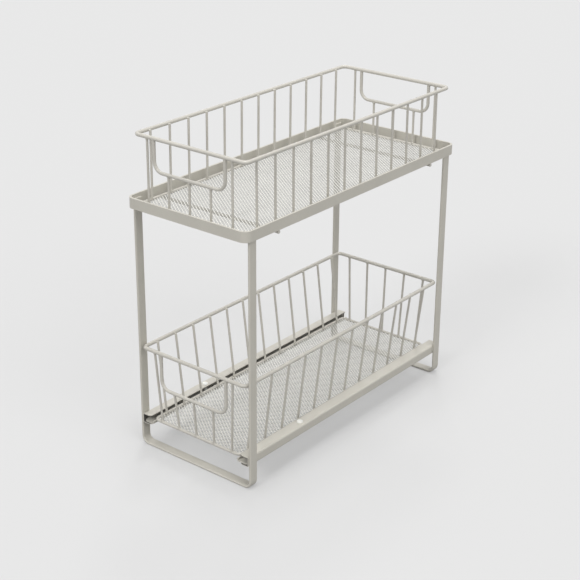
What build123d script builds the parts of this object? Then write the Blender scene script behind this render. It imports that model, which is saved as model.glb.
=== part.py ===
"""Two-tier organizer for the space under a sink, in powder-coated steel.

Two bent flat-bar frames stand on the floor and carry a tray band at the top.
A wire basket with a net floor drops into the band. Lower down two channel
rails face each other, and a second wire basket slides in them as a drawer.

Millimetres. The origin lies on the floor under the middle of the organizer.
+Z is up, the front faces -Y and +X is to the right of someone facing the back.
"""

import os

from build123d import *

# Tray band: a flat strip on edge, bent into a rounded rectangle
tray_depth = 400.0
tray_width = 176.0
tray_top = 315.0
band_height = 12.5
band_thickness = 2.5
band_corner_radius = 9.5

# Leg frames: round-edged flat bar, down one side, across the floor and up the other side
bar_width = 12.0
bar_thickness = 3.0
leg_bend_radius = 10.0
leg_top_drop = 4.0

# Cross wires welded under the tray band
cross_wire_diameter = 4.0
cross_wire_setback = 54.0

# Rails: sheet channels whose mouths face each other
rail_bottom = 29.0
rail_height = 12.0
rail_flange = 13.0
rail_sheet = 1.5
rail_bend_radius = 2.4
rail_corner_radius = 4.0

# Stop plugs: nylon plugs through the rails' upper flanges
stop_setback = 101.5
plug_head_diameter = 7.5
plug_head_height = 1.8
plug_head_round = 1.2
plug_shank_diameter = 4.0
plug_hole_clearance = 0.2
plug_floor_clearance = 1.0

# Wires of both baskets
rim_diameter = 4.6
handle_diameter = 4.0
upright_diameter = 2.8
base_wire_diameter = 3.6
basket_corner_radius = 6.0
handle_bend_radius = 12.0
side_upright_count = 12
end_upright_count = 5
side_upright_margin = 20.8
end_upright_margin = 18.4
handle_gap = 10.0
weld_sink = 0.5
foot_clearance = 0.3

# Upper basket
upper_side_clearance = 1.0
upper_end_clearance = 5.4
upper_rest_clearance = 0.3
upper_wall_height = 82.6
upper_handle_depth = 37.5

# Drawer basket
drawer_side_clearance = 2.2
drawer_front_setback = 0.5
drawer_rear_setback = 6.5
drawer_wall_height = 92.3
drawer_side_flare = 12.0
drawer_end_flare = 4.0
drawer_handle_depth = 45.0
drawer_foot_margin = 12.0

# Drawer runners: sheet angles that slide in the rails
runner_sheet = 1.5
runner_height = 4.0
runner_bend_radius = 2.4
runner_lift_clearance = 0.3
runner_side_clearance = 0.6
runner_front_setback = 0.5
runner_front_radius = 4.0
stop_ear_width = 6.0
stop_ear_clearance = 1.0
stop_contact_gap = 0.5

# Net floors
net_thickness = 0.8
net_border = 3.0
net_inner_corner = 7.2
net_strand = 2.2
net_columns = 5
net_rows = 12

# Places that follow from the sizes above
rim_radius = rim_diameter / 2
handle_radius = handle_diameter / 2
upright_radius = upright_diameter / 2
base_wire_radius = base_wire_diameter / 2
cross_wire_radius = cross_wire_diameter / 2
head_offset = rim_radius + upright_radius - weld_sink
foot_offset = base_wire_radius + upright_radius - weld_sink
foot_lift = net_thickness / 2 + foot_clearance
band_bottom = tray_top - band_height
leg_outside = tray_width / 2 - band_thickness
leg_inside = leg_outside - bar_thickness
leg_top = tray_top - leg_top_drop
leg_rear = tray_depth / 2 - band_corner_radius + bar_thickness / 2
leg_front = -leg_rear
cross_wire_place = tray_depth / 2 - cross_wire_setback

rail_mouth = leg_inside - rail_flange
rail_web_inside = leg_inside - rail_sheet
rail_top = rail_bottom + rail_height
rail_length = leg_rear - leg_front

upper_base_side = leg_inside - upper_side_clearance - base_wire_radius
upper_base_end = tray_depth / 2 - band_thickness - upper_end_clearance - base_wire_radius
upper_base_height = band_bottom + upper_rest_clearance + base_wire_radius
upper_rim_height = upper_base_height + upper_wall_height

runner_bottom = rail_bottom + rail_sheet + runner_lift_clearance
runner_outside = rail_web_inside - runner_side_clearance
drawer_rim_side = leg_inside - drawer_side_clearance - rim_radius
drawer_rim_front = leg_front + drawer_front_setback
drawer_rim_rear = leg_rear - drawer_rear_setback
drawer_base_side = drawer_rim_side - drawer_side_flare
drawer_base_front = drawer_rim_front + drawer_end_flare
drawer_base_rear = drawer_rim_rear - drawer_end_flare
drawer_base_height = runner_bottom + runner_height + base_wire_radius
drawer_rim_height = drawer_base_height + drawer_wall_height

stop_place = leg_front + stop_setback
stop_line = (runner_outside + rail_mouth) / 2
plug_tip = runner_bottom + runner_sheet + plug_floor_clearance
stop_ear_top = rail_top - rail_sheet - stop_ear_clearance
runner_inside = drawer_base_side - runner_sheet / 2
runner_front = leg_front + runner_front_setback
runner_rear = leg_rear - rail_sheet - stop_contact_gap
stop_ear_front = runner_rear - runner_sheet
drawer_travel = stop_ear_front - stop_place - plug_shank_diameter / 2 - stop_contact_gap

os.makedirs("parts", exist_ok=True)


def spread(start, end, count):
    """Evenly spaced places from start to end."""
    return [start + (end - start) * index / (count - 1) for index in range(count)]


def closed_wire(side, front, rear, height, radius):
    """A round wire bent into a level rounded rectangle and welded shut."""
    with BuildPart() as wire:
        with BuildLine() as path:
            FilletPolyline(
                (-side, front, height),
                (side, front, height),
                (side, rear, height),
                (-side, rear, height),
                radius=basket_corner_radius,
                close=True,
            )
        start = path.line @ 0
        with BuildSketch(Plane(origin=start, z_dir=path.line % 0)):
            Circle(radius)
        sweep(path=path.line)
    return wire.part


def handle_wire(place, rim_height, depth, width, rim):
    """A U of wire under the rim of a basket's end, coped to the rim."""
    with BuildPart() as handle:
        with BuildLine() as path:
            FilletPolyline(
                (-width / 2, place, rim_height),
                (-width / 2, place, rim_height - depth),
                (width / 2, place, rim_height - depth),
                (width / 2, place, rim_height),
                radius=handle_bend_radius,
            )
        with BuildSketch(Plane(origin=path.line @ 0, z_dir=path.line % 0)):
            Circle(handle_radius)
        sweep(path=path.line)
        add(rim, mode=Mode.SUBTRACT)
    return handle.part


def upright_row(ends, carriers):
    """A row of straight wires, each coped to the wires that carry it."""
    with BuildPart() as row:
        for foot, head in ends:
            run = Vector(*head) - Vector(*foot)
            with BuildSketch(Plane(origin=foot, z_dir=run)):
                Circle(upright_radius)
            extrude(amount=run.length)
        for carrier in carriers:
            add(carrier, mode=Mode.SUBTRACT)
    return row.part


def net_floor(side, front, rear, height):
    """A thin floor of crossing strands that fills a base wire."""
    width = 2 * (side - base_wire_radius)
    depth = rear - front - base_wire_diameter
    across = (width - 2 * net_border) / net_columns
    along = (depth - 2 * net_border) / net_rows
    half_across = (across - net_strand) / 2
    half_along = (along - net_strand) / 2
    gap = [(half_across, 0), (0, half_along), (-half_across, 0), (0, -half_along)]
    corner = basket_corner_radius - base_wire_radius
    level = Plane((0, (front + rear) / 2, height - net_thickness / 2))
    with BuildSketch(level) as gaps:
        with GridLocations(across, along, net_columns, net_rows):
            Polygon(*gap)
        with GridLocations(across, along, net_columns + 1, net_rows + 1):
            Polygon(*gap)
        RectangleRounded(
            width - 2 * net_border,
            depth - 2 * net_border,
            net_inner_corner,
            mode=Mode.INTERSECT,
        )
    with BuildPart() as net:
        with BuildSketch(level):
            RectangleRounded(width, depth, corner)
            add(gaps.sketch, mode=Mode.SUBTRACT)
        extrude(amount=net_thickness)
    return net.part


def leg_frame(place):
    """One flat bar with rounded edges, bent into a U that stands on the floor."""
    half = bar_thickness / 2
    side = leg_outside - half
    with BuildPart() as frame:
        with BuildLine() as path:
            FilletPolyline(
                (-side, place, leg_top),
                (-side, place, half),
                (side, place, half),
                (side, place, leg_top),
                radius=leg_bend_radius - half,
            )
        start = Plane(
            origin=path.line @ 0, x_dir=Axis.Y.direction, z_dir=path.line % 0
        )
        with BuildSketch(start):
            SlotOverall(bar_width, bar_thickness)
        sweep(path=path.line)
    return frame.part


def cross_wire(place):
    """A straight wire under the tray band, from one outer face to the other."""
    with BuildPart() as wire:
        start = Plane.YZ.offset(-tray_width / 2)
        with BuildSketch(start):
            with Locations((place, band_bottom - cross_wire_radius)):
                Circle(cross_wire_radius)
        extrude(amount=tray_width)
    return wire.part


def mirrored(part):
    """The same piece for the left side."""
    with BuildPart() as other_side:
        mirror(part, about=Plane.YZ, mode=Mode.ADD)
    return other_side.part


# Tray band
with BuildPart() as tray_band:
    with BuildSketch(Plane.XY.offset(band_bottom)):
        RectangleRounded(tray_width, tray_depth, band_corner_radius)
        RectangleRounded(
            tray_width - 2 * band_thickness,
            tray_depth - 2 * band_thickness,
            band_corner_radius - band_thickness,
            mode=Mode.SUBTRACT,
        )
    extrude(amount=band_height)

# Leg frames and cross wires
front_leg_frame = leg_frame(leg_front + bar_width / 2)
rear_leg_frame = leg_frame(leg_rear - bar_width / 2)
front_cross_wire = cross_wire(-cross_wire_place)
rear_cross_wire = cross_wire(cross_wire_place)

# Rails: the web lies on the legs, and a folded tab closes the rear end
with BuildPart() as right_rail:
    with BuildSketch(Plane.XZ.offset(-leg_rear)):
        with BuildLine():
            outside = FilletPolyline(
                (rail_mouth, rail_bottom),
                (leg_inside, rail_bottom),
                (leg_inside, rail_top),
                (rail_mouth, rail_top),
                radius=rail_bend_radius,
            )
            inside = FilletPolyline(
                (rail_mouth, rail_bottom + rail_sheet),
                (rail_web_inside, rail_bottom + rail_sheet),
                (rail_web_inside, rail_top - rail_sheet),
                (rail_mouth, rail_top - rail_sheet),
                radius=rail_bend_radius - rail_sheet,
            )
            Line(outside @ 0, inside @ 0)
            Line(outside @ 1, inside @ 1)
        make_face()
    extrude(amount=rail_length)
    mouth_corners = (
        right_rail.edges().filter_by(Axis.Z).group_by(Axis.Y)[0].group_by(Axis.X)[0]
    )
    fillet(mouth_corners, radius=rail_corner_radius)
    with BuildSketch(Plane.XZ.offset(-leg_rear)):
        with Locations(((rail_mouth + leg_inside) / 2, (rail_bottom + rail_top) / 2)):
            Rectangle(rail_flange - 2 * rail_sheet, rail_height - 2 * rail_sheet)
    extrude(amount=rail_sheet)
    with BuildSketch(Plane.XY.offset(rail_top)):
        with Locations((stop_line, stop_place)):
            Circle(plug_shank_diameter / 2 + plug_hole_clearance)
    extrude(amount=-2 * rail_sheet, mode=Mode.SUBTRACT)
left_rail = mirrored(right_rail.part)

# Stop plugs: a low round head on the flange, and a shank down into the channel
with BuildPart() as right_stop_plug:
    with BuildSketch(Plane.XY.offset(rail_top)):
        with Locations((stop_line, stop_place)):
            Circle(plug_head_diameter / 2)
    extrude(amount=plug_head_height)
    fillet(right_stop_plug.faces().sort_by(Axis.Z)[-1].edges(), radius=plug_head_round)
    with BuildSketch(Plane.XY.offset(plug_tip)):
        with Locations((stop_line, stop_place)):
            Circle(plug_shank_diameter / 2)
    extrude(amount=rail_top - plug_tip)
left_stop_plug = mirrored(right_stop_plug.part)

# Upper basket: upright walls, a handle at each end
upper_rim = closed_wire(
    upper_base_side, -upper_base_end, upper_base_end, upper_rim_height, rim_radius
)
upper_base_wire = closed_wire(
    upper_base_side, -upper_base_end, upper_base_end, upper_base_height, base_wire_radius
)
upper_net_floor = net_floor(
    upper_base_side, -upper_base_end, upper_base_end, upper_base_height
)
upper_end_side = upper_base_side - end_upright_margin
upper_handle_width = 2 * (upper_end_side - handle_gap)
upper_handles = {
    end: handle_wire(
        end * upper_base_end,
        upper_rim_height,
        upper_handle_depth,
        upper_handle_width,
        upper_rim,
    )
    for end in (-1, 1)
}
upper_side_places = spread(
    side_upright_margin - upper_base_end,
    upper_base_end - side_upright_margin,
    side_upright_count,
)
upper_end_places = spread(-upper_end_side, upper_end_side, end_upright_count)


def upper_side_row(side):
    """The wires of one long wall, welded to the inside of the base wire and the rim."""
    foot = side * (upper_base_side - foot_offset)
    head = side * (upper_base_side - head_offset)
    foot_height = upper_base_height + foot_lift
    ends = [
        ((foot, place, foot_height), (head, place, upper_rim_height))
        for place in upper_side_places
    ]
    return upright_row(ends, [upper_base_wire, upper_rim])


def upper_end_row(end):
    """The wires of one end wall: the inner ones stop at the handle."""
    place = end * upper_base_end
    heads = [upper_rim_height - upper_handle_depth] * end_upright_count
    heads[0] = heads[-1] = upper_rim_height
    ends = [
        ((across, place, upper_base_height), (across, place, head))
        for across, head in zip(upper_end_places, heads)
    ]
    return upright_row(ends, [upper_base_wire, upper_rim, upper_handles[end]])


# Drawer basket: walls that lean outwards, one handle at the front
drawer_rim = closed_wire(
    drawer_rim_side, drawer_rim_front, drawer_rim_rear, drawer_rim_height, rim_radius
)
drawer_base_wire = closed_wire(
    drawer_base_side,
    drawer_base_front,
    drawer_base_rear,
    drawer_base_height,
    base_wire_radius,
)
drawer_net_floor = net_floor(
    drawer_base_side, drawer_base_front, drawer_base_rear, drawer_base_height
)
drawer_end_side = drawer_rim_side - end_upright_margin
drawer_handle = handle_wire(
    drawer_rim_front,
    drawer_rim_height,
    drawer_handle_depth,
    2 * (drawer_end_side - handle_gap),
    drawer_rim,
)
drawer_side_places = spread(
    drawer_rim_front + side_upright_margin,
    drawer_rim_rear - side_upright_margin,
    side_upright_count,
)
drawer_head_places = spread(-drawer_end_side, drawer_end_side, end_upright_count)
drawer_foot_side = drawer_base_side - drawer_foot_margin
drawer_foot_places = spread(-drawer_foot_side, drawer_foot_side, end_upright_count)


def drawer_side_row(side):
    """The wires of one long wall, welded to the inside of the base wire and the rim."""
    foot = side * (drawer_base_side - foot_offset)
    head = side * (drawer_rim_side - head_offset)
    foot_height = drawer_base_height + foot_lift
    ends = [
        ((foot, place, foot_height), (head, place, drawer_rim_height))
        for place in drawer_side_places
    ]
    return upright_row(ends, [drawer_base_wire, drawer_rim])


def drawer_end_row(base_place, rim_place, inner_head):
    """The wires of one end wall, the inner ones up to inner_head."""
    heads = [inner_head] * end_upright_count
    heads[0] = heads[-1] = drawer_rim_height
    ends = [
        ((foot, base_place, drawer_base_height), (head, rim_place, height))
        for foot, head, height in zip(drawer_foot_places, drawer_head_places, heads)
    ]
    return upright_row(ends, [drawer_base_wire, drawer_rim, drawer_handle])


# Drawer runners: the flange slides in the rail, the upstand carries the base wire
with BuildPart() as right_runner:
    with BuildSketch(Plane.XZ.offset(-runner_rear)):
        with BuildLine():
            outside = FilletPolyline(
                (runner_inside, runner_bottom + runner_height),
                (runner_inside, runner_bottom),
                (runner_outside, runner_bottom),
                radius=runner_bend_radius,
            )
            inside = FilletPolyline(
                (runner_inside + runner_sheet, runner_bottom + runner_height),
                (runner_inside + runner_sheet, runner_bottom + runner_sheet),
                (runner_outside, runner_bottom + runner_sheet),
                radius=runner_bend_radius - runner_sheet,
            )
            Line(outside @ 0, inside @ 0)
            Line(outside @ 1, inside @ 1)
        make_face()
    extrude(amount=runner_rear - runner_front)
    front_corner = (
        right_runner.edges().filter_by(Axis.Z).group_by(Axis.Y)[0].sort_by(Axis.X)[-1]
    )
    fillet(front_corner, radius=runner_front_radius)
    with BuildSketch(Plane.XY.offset(runner_bottom + runner_sheet)):
        with Locations((stop_line, runner_rear - runner_sheet / 2)):
            Rectangle(stop_ear_width, runner_sheet)
    extrude(amount=stop_ear_top - runner_bottom - runner_sheet)
left_runner = mirrored(right_runner.part)

pieces = {
    "tray_band": tray_band.part,
    "front_leg_frame": front_leg_frame,
    "rear_leg_frame": rear_leg_frame,
    "front_cross_wire": front_cross_wire,
    "rear_cross_wire": rear_cross_wire,
    "left_rail": left_rail,
    "right_rail": right_rail.part,
    "left_stop_plug": left_stop_plug,
    "right_stop_plug": right_stop_plug.part,
    "upper_rim": upper_rim,
    "upper_base_wire": upper_base_wire,
    "upper_net_floor": upper_net_floor,
    "upper_front_handle": upper_handles[-1],
    "upper_rear_handle": upper_handles[1],
    "upper_left_uprights": upper_side_row(-1),
    "upper_right_uprights": upper_side_row(1),
    "upper_front_uprights": upper_end_row(-1),
    "upper_rear_uprights": upper_end_row(1),
    "drawer_rim": drawer_rim,
    "drawer_base_wire": drawer_base_wire,
    "drawer_net_floor": drawer_net_floor,
    "drawer_handle": drawer_handle,
    "drawer_left_uprights": drawer_side_row(-1),
    "drawer_right_uprights": drawer_side_row(1),
    "drawer_front_uprights": drawer_end_row(
        drawer_base_front, drawer_rim_front, drawer_rim_height - drawer_handle_depth
    ),
    "drawer_rear_uprights": drawer_end_row(
        drawer_base_rear, drawer_rim_rear, drawer_rim_height
    ),
    "drawer_left_runner": left_runner,
    "drawer_right_runner": right_runner.part,
}
for name, part in pieces.items():
    part.label = name
    export_step(part, f"parts/{name}.step")

print("drawer travel", round(drawer_travel, 2))
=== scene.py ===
"""Looks of the two-tier organizer: powder coats, net floors, welds, floor and light.

Metres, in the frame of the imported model: +Z up, the front faces -Y.
"""

import math

import bpy
from mathutils import Matrix, Vector, noise


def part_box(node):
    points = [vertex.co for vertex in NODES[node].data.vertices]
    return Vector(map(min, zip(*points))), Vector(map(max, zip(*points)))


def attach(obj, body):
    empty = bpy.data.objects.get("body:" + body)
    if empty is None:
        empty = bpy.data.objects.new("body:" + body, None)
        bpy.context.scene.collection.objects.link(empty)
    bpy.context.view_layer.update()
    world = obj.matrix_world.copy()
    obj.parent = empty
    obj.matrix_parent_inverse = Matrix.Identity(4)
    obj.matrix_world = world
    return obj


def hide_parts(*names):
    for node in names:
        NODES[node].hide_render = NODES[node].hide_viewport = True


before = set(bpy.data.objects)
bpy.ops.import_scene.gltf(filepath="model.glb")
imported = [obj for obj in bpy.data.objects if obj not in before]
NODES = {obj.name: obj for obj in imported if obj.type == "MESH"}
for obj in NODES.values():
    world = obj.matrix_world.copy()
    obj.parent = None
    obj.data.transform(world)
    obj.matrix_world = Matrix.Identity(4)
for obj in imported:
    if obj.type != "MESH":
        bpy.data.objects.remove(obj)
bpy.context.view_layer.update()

MM = 0.001
RAILS = ("left_rail", "right_rail")

# Camera: the focal length and the lens axis are in pixels of the picture
IMAGE_SIZE = 580
SENSOR = 36.0
FOCAL_PIXELS = 1374.3
AXIS_ROW = 262.0
CLIP_END = 100
VIEW_AZIMUTH = math.radians(38.76)
VIEW_ELEVATION = math.radians(22.61)
VIEW_ROLL = math.radians(0.40)
VIEW_DISTANCE = 1.6742
VIEW_TARGET = Vector((-0.01401, 0.0, 0.19186))

# Floor: what the camera sees has a glow, and what lights the object is darker
FLOOR_RADIUS = 14.0
FLOOR_SIDES = 64
FLOOR_COLOUR = (0.40, 0.40, 0.40, 1)
FLOOR_BOUNCE = (0.26, 0.26, 0.26, 1)
FLOOR_ROUGHNESS = 0.9
GLOW_COLOUR = (1, 1, 1, 1)
FLOOR_GLOW = 0.27

# World: what it lights with, and what it looks like
WORLD_COLOUR = (1.0, 1.0, 1.0, 1)
WORLD_STRENGTH = 0.52
BACKDROP_STRENGTH = 0.80

# Lamps: name, the side that it shines from, strength and breadth
LAMPS = (
    ("key", Vector((0.0, -0.80, 0.60)), 1.00, math.radians(18)),
    ("side", Vector((0.70, -0.15, 0.70)), 0.95, math.radians(40)),
    ("back", Vector((-0.36, 0.52, 0.78)), 0.45, math.radians(12)),
    ("overhead", Vector((-0.04, 0.04, 1.0)), 1.00, math.radians(24)),
)
LAMP_DISTANCE = 3

# Colours of the powder coats, with painted light on the nets' tops, and painted shade
# on the nets' edges and inside the rails' channels
COAT_BAR = (0.572, 0.550, 0.490)
COAT_WIRE = (0.562, 0.541, 0.488)
# Lighter than the frame's coat, which is the same paint: painted light on the strands'
# tops
NET_LIT_COLOUR = (0.76, 0.748, 0.697)
# Near-black painted shade for the sides of the net's strands
NET_EDGE_SHADE = (0.07, 0.068, 0.060)
# Painted shade inside the rails' channels, darker than their coat
CHANNEL_SHADE = (0.10, 0.097, 0.087, 1)

# Roughness of each coat, from its glossiest to its dullest places
BAR_ROUGHNESS = (0.40, 0.52)
WIRE_ROUGHNESS = (0.20, 0.30)
NET_ROUGHNESS = (0.42, 0.55)
NET_EDGE_ROUGHNESS = (0.50, 0.62)

# Orange peel of each coat: features per metre, and their depth
BAR_PEEL = (700, 0.06 * MM)
WIRE_PEEL = (900, 0.04 * MM)
NET_PEEL = (1200, 0.04 * MM)
PEEL_STRENGTH = 0.5

# Drifts of tone and gloss: features per metre, and levels of detail
DRIFT_SCALE = 22
SPECK_SCALE = 900
GLOSS_SCALE = 60
COARSE_DETAIL = 2
FINE_DETAIL = 3
SPECK_SHARE = 0.35
TONE_SHARES = (0.95, 1.04)
NOISE_RANGE = (0.3, 0.7)

# The rails' insides, darkened with painted shade; a lip next to the rails' top and
# bottom faces is left unshaded
RAIL_SHEET = 1.5 * MM
UNSHADED_LIP = 0.8 * MM
MASK_MARGIN = 0.1 * MM

# Nylon of the stop plugs
NYLON_TONES = ((0.78, 0.78, 0.74, 1), (0.90, 0.90, 0.87, 1))
NYLON_SCALE = 400
NYLON_ROUGHNESS = (0.3, 0.42)
NYLON_MILK = 0.35
NYLON_REACH = (1.5 * MM, 1.4 * MM, 1.2 * MM)

# Net floors: two families of flat strands that cross at a slant
NET_ANGLE = math.radians(36.2)
NET_PITCH = 3.34 * MM
NET_START = 0.37
STRAND_WIDTH = 0.9 * MM
STRAND_THICKNESS = 0.38 * MM
STRAND_LIFT = 0.06 * MM
STRAND_STEP = 16 * MM
STRAND_SECTION = ((-1, -1), (1, -1), (1, 1), (-1, 1))
CHORD_STEPS = 240
CHORD_HALVINGS = 20
NET_EDGE_SLOT = 1

# How the nets lie: a sag, and waves that die out towards the base wire
NET_SAG = 0.5 * MM
NET_WAVE = 0.35 * MM
WAVE_SCALE = 18
WAVE_HOLD = 6
UPPER_SEED = 3.7
DRAWER_SEED = 8.1

# Wires of the baskets
UPRIGHT_RADIUS = 1.4 * MM
HANDLE_RADIUS = 2.0 * MM
CORNER_RADIUS = 6.0 * MM
DRAWER_FOOT_MARGIN = 12.0 * MM
SIDE_COUNT = 12
END_COUNT = 5

# Welds: half sizes of each kind across, along and up, and how lumpy they are
NUGGET = Vector((2.1, 2.1, 1.2)) * MM
SIDE_NUGGET = Vector((1.1, 1.9, 1.3)) * MM
RAIL_BEAD = Vector((0.9, 1.3, 4.2)) * MM
CAP_BEAD = Vector((1.4, 2.2, 2.2)) * MM
NUGGET_SEAT = 0.95
BEAD_RINGS = 6
BEAD_SIDES = 10
BEAD_UNEVEN = 0.12
BEAD_LUMPS = 1.4
BEAD_SPREAD = 900

# Sockets of a Mix node by what it mixes: first and second input, and output
MIX_SOCKETS = {"FLOAT": (2, 3, 0), "RGBA": (6, 7, 2)}


def mesh_object(name, verts, faces, smooth=False):
    """A new object of these vertices and faces, linked to the scene."""
    mesh = bpy.data.meshes.new(name)
    mesh.from_pydata(verts, [], faces)
    mesh.validate()
    mesh.update()
    if smooth:
        mesh.polygons.foreach_set("use_smooth", [True] * len(mesh.polygons))
    piece = bpy.data.objects.new(name, mesh)
    bpy.context.scene.collection.objects.link(piece)
    return piece


def new_material(name):
    """A node material, with its tree and its Principled shader."""
    material = bpy.data.materials.new(name)
    material.use_nodes = True
    tree = material.node_tree
    tree.nodes.clear()
    shader = tree.nodes.new("ShaderNodeBsdfPrincipled")
    output = tree.nodes.new("ShaderNodeOutputMaterial")
    tree.links.new(shader.outputs["BSDF"], output.inputs["Surface"])
    return material, tree, shader


def feed(tree, socket, source):
    """Links an input to another node's output, or gives it a plain value."""
    if isinstance(source, bpy.types.NodeSocket):
        tree.links.new(source, socket)
    else:
        socket.default_value = source


def maths(tree, operation, *sources):
    """Output of a Math node, each source being an output or a value."""
    node = tree.nodes.new("ShaderNodeMath")
    node.operation = operation
    for socket, source in zip(node.inputs, sources):
        feed(tree, socket, source)
    return node.outputs[0]


def mixed(tree, kind, share, first, second):
    """Output of a Mix node: first where share is 0, second where it is 1."""
    first_socket, second_socket, result = MIX_SOCKETS[kind]
    node = tree.nodes.new("ShaderNodeMix")
    node.data_type = kind
    feed(tree, node.inputs[0], share)
    feed(tree, node.inputs[first_socket], first)
    feed(tree, node.inputs[second_socket], second)
    return node.outputs[result]


def noise_level(tree, scale, detail):
    """Noise in object coordinates, scale being features per metre."""
    place = tree.nodes.new("ShaderNodeTexCoord")
    texture = tree.nodes.new("ShaderNodeTexNoise")
    feed(tree, texture.inputs["Scale"], scale)
    feed(tree, texture.inputs["Detail"], detail)
    feed(tree, texture.inputs["Vector"], place.outputs["Object"])
    return texture.outputs["Fac"]


def spread_noise(tree, level, low, high):
    """Maps the range where most noise lies onto the one from low to high."""
    spread = tree.nodes.new("ShaderNodeMapRange")
    feed(tree, spread.inputs["From Min"], NOISE_RANGE[0])
    feed(tree, spread.inputs["From Max"], NOISE_RANGE[1])
    feed(tree, spread.inputs["To Min"], low)
    feed(tree, spread.inputs["To Max"], high)
    feed(tree, spread.inputs["Value"], level)
    return spread.outputs["Result"]


def powder_coat(name, colour, roughness, peel):
    """Satin powder coat: slight drifts of tone, uneven gloss, orange peel."""
    material, tree, shader = new_material(name)
    peel_scale, peel_depth = peel
    drift = noise_level(tree, DRIFT_SCALE, COARSE_DETAIL)
    speck = noise_level(tree, SPECK_SCALE, FINE_DETAIL)
    tone = tree.nodes.new("ShaderNodeValToRGB")
    ends = zip(tone.color_ramp.elements, NOISE_RANGE, TONE_SHARES)
    for element, position, share in ends:
        element.position = position
        element.color = tuple(level * share for level in colour) + (1,)
    feed(tree, tone.inputs["Fac"], mixed(tree, "FLOAT", SPECK_SHARE, drift, speck))
    feed(tree, shader.inputs["Base Color"], tone.outputs["Color"])
    gloss = noise_level(tree, GLOSS_SCALE, COARSE_DETAIL)
    feed(tree, shader.inputs["Roughness"], spread_noise(tree, gloss, *roughness))
    bump = tree.nodes.new("ShaderNodeBump")
    feed(tree, bump.inputs["Strength"], PEEL_STRENGTH)
    feed(tree, bump.inputs["Distance"], peel_depth)
    feed(tree, bump.inputs["Height"], noise_level(tree, peel_scale, COARSE_DETAIL))
    feed(tree, shader.inputs["Normal"], bump.outputs["Normal"])
    return material


def channel_shade_mask(tree):
    """Where the rails' painted shade goes: 1 inside their channels, in object
    coordinates, and 0 outside them.
    """
    low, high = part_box("right_rail")
    place = tree.nodes.new("ShaderNodeTexCoord")
    split = tree.nodes.new("ShaderNodeSeparateXYZ")
    feed(tree, split.inputs["Vector"], place.outputs["Object"])
    along, up = split.outputs["Y"], split.outputs["Z"]
    across = maths(tree, "ABSOLUTE", split.outputs["X"])
    inside = maths(tree, "GREATER_THAN", across, low.x - MASK_MARGIN)
    for source, operation, limit in (
        (across, "LESS_THAN", high.x - RAIL_SHEET + MASK_MARGIN),
        (along, "LESS_THAN", high.y - RAIL_SHEET + MASK_MARGIN),
        (up, "GREATER_THAN", low.z + UNSHADED_LIP),
        (up, "LESS_THAN", high.z - UNSHADED_LIP),
    ):
        test = maths(tree, operation, source, limit)
        inside = maths(tree, "MULTIPLY", inside, test)
    return inside


def paint_channel_shade(material):
    """Paints shade into a coat inside the rails' channels, for the deep shade there.
    """
    tree = material.node_tree
    shader = next(node for node in tree.nodes if node.type == "BSDF_PRINCIPLED")
    colour = shader.inputs["Base Color"]
    coat = colour.links[0].from_socket
    feed(tree, colour, mixed(tree, "RGBA", channel_shade_mask(tree), coat, CHANNEL_SHADE))
    return material


def nylon():
    """Milky nylon of the stop plugs."""
    material, tree, shader = new_material("nylon")
    cloud = noise_level(tree, NYLON_SCALE, COARSE_DETAIL)
    tone = tree.nodes.new("ShaderNodeValToRGB")
    for element, colour in zip(tone.color_ramp.elements, NYLON_TONES):
        element.color = colour
    feed(tree, tone.inputs["Fac"], cloud)
    feed(tree, shader.inputs["Base Color"], tone.outputs["Color"])
    feed(tree, shader.inputs["Roughness"], spread_noise(tree, cloud, *NYLON_ROUGHNESS))
    feed(tree, shader.inputs["Subsurface Weight"], NYLON_MILK)
    feed(tree, shader.inputs["Subsurface Radius"], NYLON_REACH)
    return material


BAR_COAT = powder_coat("bar_coat", COAT_BAR, BAR_ROUGHNESS, BAR_PEEL)
# The rails' coat, with painted shade inside their channels
SHADED_RAIL_COAT = paint_channel_shade(powder_coat("rail_coat_painted_shade", COAT_BAR, BAR_ROUGHNESS, BAR_PEEL))
WIRE_COAT = powder_coat("wire_coat", COAT_WIRE, WIRE_ROUGHNESS, WIRE_PEEL)
# The net's coat, lightened with painted light
LIT_NET_COAT = powder_coat("net_coat", NET_LIT_COLOUR, NET_ROUGHNESS, NET_PEEL)
# Near-black painted shade for the sides of the net's strands
SHADED_NET_EDGE = powder_coat("net_edge_shade", NET_EDGE_SHADE, NET_EDGE_ROUGHNESS, NET_PEEL)
NYLON = nylon()


def dress_nodes():
    """Gives every CAD node its coat."""
    for name, node in NODES.items():
        if name.endswith("stop_plug"):
            coat = NYLON
        elif name in RAILS:
            coat = SHADED_RAIL_COAT
        elif name.endswith(("band", "leg_frame", "runner")):
            coat = BAR_COAT
        else:
            coat = WIRE_COAT
        for slot in node.material_slots:
            slot.material = coat


dress_nodes()


def between(start, end, count):
    """Evenly spaced values from start to end."""
    return [start + (end - start) * index / (count - 1) for index in range(count)]


def wire_radius(name):
    """Radius of a level closed wire, from its box."""
    low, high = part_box(name)
    return (high.z - low.z) / 2


def wire_line(name):
    """Half width, front, rear and height of a closed wire's centre line."""
    low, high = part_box(name)
    radius = wire_radius(name)
    return high.x - radius, low.y + radius, high.y - radius, (low.z + high.z) / 2


def inside_rounded(x, y, half_x, half_y, corner):
    """True inside a rounded rectangle about the origin."""
    over_x = max(abs(x) - (half_x - corner), 0.0)
    over_y = max(abs(y) - (half_y - corner), 0.0)
    if abs(x) > half_x or abs(y) > half_y:
        return False
    return over_x * over_x + over_y * over_y <= corner * corner


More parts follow.
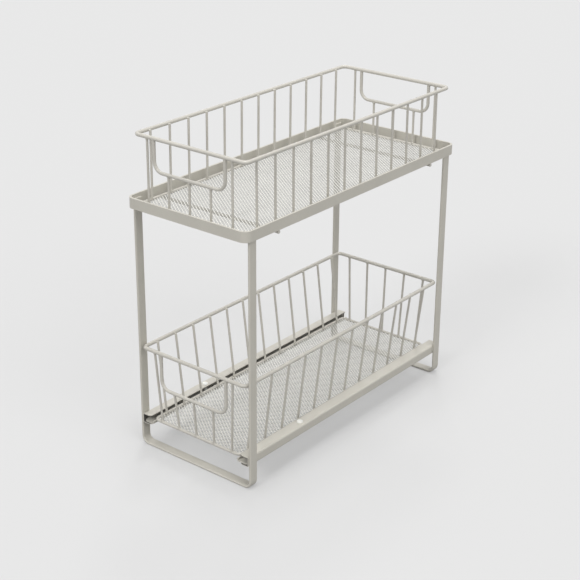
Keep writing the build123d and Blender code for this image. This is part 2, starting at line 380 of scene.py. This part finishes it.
def chord(offset, direction, half_x, half_y, corner):
    """Where a line across the rounded rectangle enters and leaves it, or None."""
    across = Vector((-direction.y, direction.x))
    reach = half_x + half_y
    inner = []
    for index in range(CHORD_STEPS + 1):
        t = -reach + 2 * reach * index / CHORD_STEPS
        point = across * offset + direction * t
        if inside_rounded(point.x, point.y, half_x, half_y, corner):
            inner.append(t)
    if not inner:
        return None
    ends = []
    for edge, sign in ((inner[0], -1), (inner[-1], 1)):
        low, high = edge, edge + sign * 2 * reach / CHORD_STEPS
        for _ in range(CHORD_HALVINGS):
            middle = (low + high) / 2
            point = across * offset + direction * middle
            if inside_rounded(point.x, point.y, half_x, half_y, corner):
                low = middle
            else:
                high = middle
        ends.append(low)
    return ends[0], ends[1]


def net_level(x, y, half_x, half_y, seed):
    """Height of the net over its base wire's middle: a sag and slow waves."""
    sag = -NET_SAG * (1 - (x / half_x) ** 2) * (1 - (y / half_y) ** 2)
    wave = NET_WAVE * noise.noise(Vector((x * WAVE_SCALE, y * WAVE_SCALE, seed)))
    edge = min(1.0, WAVE_HOLD * (1 - max(abs(x) / half_x, abs(y) / half_y)))
    return sag + wave * edge


def add_strand(verts, faces, edge_faces, centre, line, across):
    """Adds a flat strand along a line, and lists the faces along its sides, which take
    painted shade.
    """
    sides = len(STRAND_SECTION)
    first = len(verts)
    for middle, height in line:
        for side, up in STRAND_SECTION:
            point = middle + across * side * STRAND_WIDTH / 2
            z = height + up * STRAND_THICKNESS / 2
            verts.append((centre.x + point.x, centre.y + point.y, z))
    for step in range(len(line) - 1):
        near = first + sides * step
        far = near + sides
        for corner in range(sides):
            after = (corner + 1) % sides
            if corner % 2:
                edge_faces.append(len(faces))
            faces.append((near + corner, near + after, far + after, far + corner))
    last = len(verts) - sides
    faces.append(tuple(reversed(range(first, first + sides))))
    faces.append(tuple(range(last, last + sides)))


def net_floor(name, base_wire, node, body, seed):
    """A net of slanting strands that ends in the middle of its base wire."""
    low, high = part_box(base_wire)
    radius = wire_radius(base_wire)
    half_x = (high.x - low.x) / 2 - radius
    half_y = (high.y - low.y) / 2 - radius
    centre = (low + high) / 2
    count = int((half_x + half_y) / NET_PITCH)
    verts, faces, edge_faces = [], [], []
    for angle, lift in ((NET_ANGLE, -STRAND_LIFT), (-NET_ANGLE, STRAND_LIFT)):
        direction = Vector((math.cos(angle), math.sin(angle)))
        across = Vector((-direction.y, direction.x))
        for index in range(-count, count + 1):
            offset = (index + NET_START) * NET_PITCH
            ends = chord(offset, direction, half_x, half_y, CORNER_RADIUS)
            if ends is None:
                continue
            steps = max(1, round((ends[1] - ends[0]) / STRAND_STEP))
            line = []
            for t in between(ends[0], ends[1], steps + 1):
                middle = across * offset + direction * t
                level = net_level(middle.x, middle.y, half_x, half_y, seed)
                line.append((middle, centre.z + level + lift))
            add_strand(verts, faces, edge_faces, centre, line, across)
    net = mesh_object(name, verts, faces)
    # Tops, bottoms and ends of the strands: the net's coat, lightened with painted
    # light
    net.data.materials.append(LIT_NET_COAT)
    # Sides of the strands: near-black painted shade
    net.data.materials.append(SHADED_NET_EDGE)
    for index in edge_faces:
        net.data.polygons[index].material_index = NET_EDGE_SLOT
    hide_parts(node)
    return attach(net, body)


for basket, body, seed in (
    ("upper", "upper_basket", UPPER_SEED),
    ("drawer", "drawer", DRAWER_SEED),
):
    base_wire, node = f"{basket}_base_wire", f"{basket}_net_floor"
    net_floor(f"{basket}_fine_net", base_wire, node, body, seed)


def bead(verts, faces, centre, radii):
    """Adds a small, slightly uneven lump of weld under its coat."""
    first = len(verts)
    for ring in range(1, BEAD_RINGS):
        slope = math.pi * ring / BEAD_RINGS
        for side in range(BEAD_SIDES):
            turn = 2 * math.pi * side / BEAD_SIDES
            point = Vector(
                (
                    math.sin(slope) * math.cos(turn),
                    math.sin(slope) * math.sin(turn),
                    math.cos(slope),
                )
            )
            lump = noise.noise(point * BEAD_LUMPS + centre * BEAD_SPREAD)
            uneven = 1 + BEAD_UNEVEN * lump
            verts.append(
                (
                    centre.x + point.x * radii.x * uneven,
                    centre.y + point.y * radii.y * uneven,
                    centre.z + point.z * radii.z * uneven,
                )
            )
    top = len(verts)
    verts.append((centre.x, centre.y, centre.z + radii.z))
    verts.append((centre.x, centre.y, centre.z - radii.z))
    low_ring = top - BEAD_SIDES
    for side in range(BEAD_SIDES):
        after = (side + 1) % BEAD_SIDES
        faces.append((top, first + side, first + after))
        for upper in range(first, low_ring, BEAD_SIDES):
            lower = upper + BEAD_SIDES
            faces.append((upper + side, lower + side, lower + after, upper + after))
        faces.append((top + 1, low_ring + after, low_ring + side))


def side_places(basket, side):
    """Places of the welds of a long wall, inside its wires, side being -1 or 1."""
    word = "left" if side < 0 else "right"
    low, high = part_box(f"{basket}_{word}_uprights")
    rise = SIDE_NUGGET.z / 2
    foot_x, _, _, foot_z = wire_line(f"{basket}_base_wire")
    head_x, _, _, head_z = wire_line(f"{basket}_rim")
    foot_x -= wire_radius(f"{basket}_base_wire")
    head_x -= wire_radius(f"{basket}_rim")
    places = []
    for y in between(low.y + UPRIGHT_RADIUS, high.y - UPRIGHT_RADIUS, SIDE_COUNT):
        places.append(Vector((side * foot_x, y, foot_z + rise)))
        places.append(Vector((side * head_x, y, head_z - rise)))
    return places


def end_places(basket, end, handle):
    """Places of the welds of an end wall's uprights, end being -1 or 1."""
    word = "front" if end < 0 else "rear"
    low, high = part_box(f"{basket}_{word}_uprights")
    foot_x, foot_front, foot_rear, foot_z = wire_line(f"{basket}_base_wire")
    _, head_front, head_rear, head_z = wire_line(f"{basket}_rim")
    foot_y = foot_front if end < 0 else foot_rear
    head_y = head_front if end < 0 else head_rear
    head_half = (high.x - low.x) / 2 - UPRIGHT_RADIUS
    foot_half = foot_x - DRAWER_FOOT_MARGIN if basket == "drawer" else head_half
    heads_z = [head_z] * END_COUNT
    if handle:
        bar_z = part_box(handle)[0].z + HANDLE_RADIUS
        heads_z = [head_z] + [bar_z] * (END_COUNT - 2) + [head_z]
    feet_x = between(-foot_half, foot_half, END_COUNT)
    heads_x = between(-head_half, head_half, END_COUNT)
    foot_seat = wire_radius(f"{basket}_base_wire") * NUGGET_SEAT
    head_seat = wire_radius(f"{basket}_rim") * NUGGET_SEAT
    places = []
    for x, top_x, top_z in zip(feet_x, heads_x, heads_z):
        foot = Vector((x, foot_y, foot_z))
        head = Vector((top_x, head_y, top_z))
        run = (head - foot).normalized()
        places.append(foot + run * foot_seat)
        places.append(head - run * head_seat)
    return places


def handle_places(basket, end, handle):
    """Places of the welds of a handle's two ends under the rim."""
    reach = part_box(handle)[1].x - HANDLE_RADIUS
    _, front, rear, z = wire_line(f"{basket}_rim")
    y = front if end < 0 else rear
    height = z - wire_radius(f"{basket}_rim")
    return [Vector((side * reach, y, height)) for side in (-1, 1)]


def basket_welds(basket, body, handles):
    """The spot welds of a basket's uprights and handles."""
    places = []
    for end in (-1, 1):
        places += end_places(basket, end, handles.get(end))
    for end, handle in handles.items():
        places += handle_places(basket, end, handle)
    verts, faces = [], []
    for place in places:
        bead(verts, faces, place, NUGGET)
    for side in (-1, 1):
        for place in side_places(basket, side):
            bead(verts, faces, place, SIDE_NUGGET)
    welds = mesh_object(f"{basket}_welds", verts, faces, smooth=True)
    welds.data.materials.append(WIRE_COAT)
    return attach(welds, body)


for basket, body, handles in (
    ("upper", "upper_basket", {-1: "upper_front_handle", 1: "upper_rear_handle"}),
    ("drawer", "drawer", {-1: "drawer_handle"}),
):
    basket_welds(basket, body, handles)


def frame_welds():
    """Beads where the rails meet the legs, and the cross wires' capped ends."""
    verts, faces = [], []
    rail_low, rail_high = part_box("right_rail")
    rail_z = (rail_low.z + rail_high.z) / 2
    for leg, inward in (("front_leg_frame", 1), ("rear_leg_frame", -1)):
        low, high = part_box(leg)
        edge = high.y if inward > 0 else low.y
        y = edge + inward * RAIL_BEAD.y / 2
        for side in (-1, 1):
            bead(verts, faces, Vector((side * rail_high.x, y, rail_z)), RAIL_BEAD)
    for wire in ("front_cross_wire", "rear_cross_wire"):
        low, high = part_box(wire)
        middle = (low + high) / 2
        reach = high.x - CAP_BEAD.x * (1 + BEAD_UNEVEN)
        for side in (-1, 1):
            bead(verts, faces, Vector((side * reach, middle.y, middle.z)), CAP_BEAD)
    welds = mesh_object("frame_welds", verts, faces, smooth=True)
    welds.data.materials.append(BAR_COAT)
    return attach(welds, "frame")


frame_welds()


def add_camera():
    """The photograph's view: a long lens with a small upward shift."""
    back = Vector(
        (
            math.sin(VIEW_AZIMUTH) * math.cos(VIEW_ELEVATION),
            -math.cos(VIEW_AZIMUTH) * math.cos(VIEW_ELEVATION),
            math.sin(VIEW_ELEVATION),
        )
    )
    right = Vector((math.cos(VIEW_AZIMUTH), math.sin(VIEW_AZIMUTH), 0))
    up = back.cross(right)
    turned_right = right * math.cos(VIEW_ROLL) + up * math.sin(VIEW_ROLL)
    turned_up = up * math.cos(VIEW_ROLL) - right * math.sin(VIEW_ROLL)
    data = bpy.data.cameras.new("camera")
    data.sensor_width = SENSOR
    data.lens = FOCAL_PIXELS * SENSOR / IMAGE_SIZE
    data.shift_y = (AXIS_ROW - IMAGE_SIZE / 2) / IMAGE_SIZE
    data.clip_end = CLIP_END
    camera = bpy.data.objects.new("camera", data)
    turn = Matrix((turned_right, turned_up, back)).transposed().to_4x4()
    camera.matrix_world = Matrix.Translation(VIEW_TARGET + back * VIEW_DISTANCE) @ turn
    bpy.context.scene.collection.objects.link(camera)
    bpy.context.scene.camera = camera


def seen_rays(tree):
    """1 for the rays that the camera, gloss and glass send out, 0 for light."""
    rays = tree.nodes.new("ShaderNodeLightPath").outputs
    seen = maths(tree, "MAXIMUM", rays["Is Camera Ray"], rays["Is Glossy Ray"])
    return maths(tree, "MAXIMUM", seen, rays["Is Transmission Ray"])


def add_floor():
    """A plain pale floor, wide enough to fill the picture."""
    verts = []
    for index in range(FLOOR_SIDES):
        turn = 2 * math.pi * index / FLOOR_SIDES
        x, y = FLOOR_RADIUS * math.cos(turn), FLOOR_RADIUS * math.sin(turn)
        verts.append((x, y, 0))
    floor = mesh_object("floor", verts, [tuple(range(FLOOR_SIDES))])
    material, tree, shader = new_material("floor_paper")
    seen = seen_rays(tree)
    colour = mixed(tree, "RGBA", seen, FLOOR_BOUNCE, FLOOR_COLOUR)
    glow = maths(tree, "MULTIPLY", seen, FLOOR_GLOW)
    feed(tree, shader.inputs["Base Color"], colour)
    feed(tree, shader.inputs["Emission Color"], GLOW_COLOUR)
    feed(tree, shader.inputs["Emission Strength"], glow)
    feed(tree, shader.inputs["Roughness"], FLOOR_ROUGHNESS)
    feed(tree, shader.inputs["Specular IOR Level"], 0.0)
    floor.data.materials.append(material)


def add_lamp(name, direction, strength, breadth):
    """A broad, distant lamp, which lights the floor evenly."""
    data = bpy.data.lights.new(name, "SUN")
    data.energy = strength
    data.angle = breadth
    lamp = bpy.data.objects.new(name, data)
    lamp.rotation_euler = direction.to_track_quat("Z", "Y").to_euler()
    lamp.location = direction * LAMP_DISTANCE
    bpy.context.scene.collection.objects.link(lamp)


def add_world():
    """Even light from all round, which looks as pale as the floor."""
    world = bpy.data.worlds.new("studio")
    world.use_nodes = True
    tree = world.node_tree
    background = tree.nodes["Background"]
    seen = seen_rays(tree)
    strength = mixed(tree, "FLOAT", seen, WORLD_STRENGTH, BACKDROP_STRENGTH)
    feed(tree, background.inputs["Color"], WORLD_COLOUR)
    feed(tree, background.inputs["Strength"], strength)
    bpy.context.scene.world = world


add_camera()
add_floor()
for lamp_facts in LAMPS:
    add_lamp(*lamp_facts)
add_world()
bpy.context.scene.view_settings.view_transform = "Standard"
